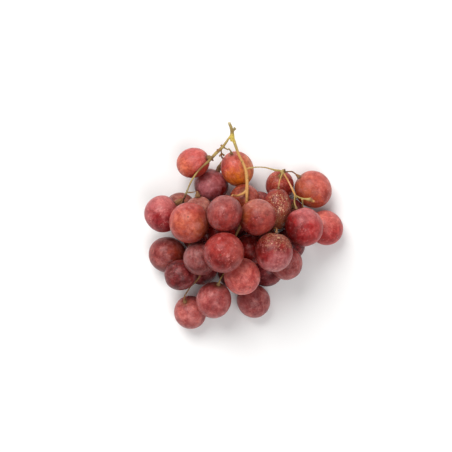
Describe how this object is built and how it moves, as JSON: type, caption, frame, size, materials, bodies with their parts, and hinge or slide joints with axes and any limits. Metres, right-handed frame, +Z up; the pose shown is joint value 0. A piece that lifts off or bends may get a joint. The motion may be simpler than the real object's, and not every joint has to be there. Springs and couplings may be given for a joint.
{
  "type": "bunch of grapes",
  "caption": "Bunch of large red table grapes lying on its side: round berries on a branched woody stalk with a cut end.",
  "frame": {"origin": "on the table, under the middle of the bunch's box", "axes": "+X across the bunch, +Y along it towards the cut end of the stalk, +Z up from the table"},
  "size_m": [0.139, 0.1428, 0.076],
  "materials": {
    "wood": "fresh woody stalk, olive to yellow-green with brown spots and brown receptacles",
    "grape_rose": "thin translucent skin, rose red with a faint waxy bloom",
    "grape_crimson": "thin translucent skin, crimson with pale specks",
    "grape_plum": "thin translucent skin, dull plum with a waxy bloom",
    "grape_mauve": "thin translucent skin under a heavy pale bloom",
    "grape_amber": "thin translucent skin, orange red turning amber brown",
    "grape_russet": "dull skin, plum brown with tan russet specks"
  },
  "bodies": {
    "root": {"stem": "wood", "grape_top_left": "grape_rose", "grape_top_middle": "grape_amber", "grape_top_dark": "grape_plum", "grape_back_rose": "grape_rose", "grape_back_mauve": "grape_mauve", "grape_left_outer": "grape_crimson", "grape_left_amber": "grape_amber", "grape_left_hidden": "grape_plum", "grape_left_mauve": "grape_mauve", "grape_right_top": "grape_rose", "grape_right_dark": "grape_crimson", "grape_right_russet": "grape_russet", "grape_right_crimson": "grape_crimson", "grape_right_outer": "grape_rose", "grape_right_low": "grape_crimson", "grape_middle_plum": "grape_plum", "grape_middle_red": "grape_crimson", "grape_front_rose": "grape_rose", "grape_front_crimson": "grape_crimson", "grape_front_mauve": "grape_mauve", "grape_deep_brown": "grape_plum", "grape_low_left": "grape_plum", "grape_low_dark": "grape_plum", "grape_low_rose": "grape_rose", "grape_low_right": "grape_mauve", "grape_tip_middle": "grape_rose", "grape_tip_left": "grape_rose", "grape_tip_right": "grape_mauve", "grape_inner": "grape_crimson", "grape_under_1": "grape_plum", "grape_under_2": "grape_crimson", "grape_under_3": "grape_plum", "grape_under_4": "grape_crimson", "grape_under_5": "grape_plum", "grape_under_6": "grape_crimson", "grape_under_7": "grape_plum"}
  },
  "joints": []
}
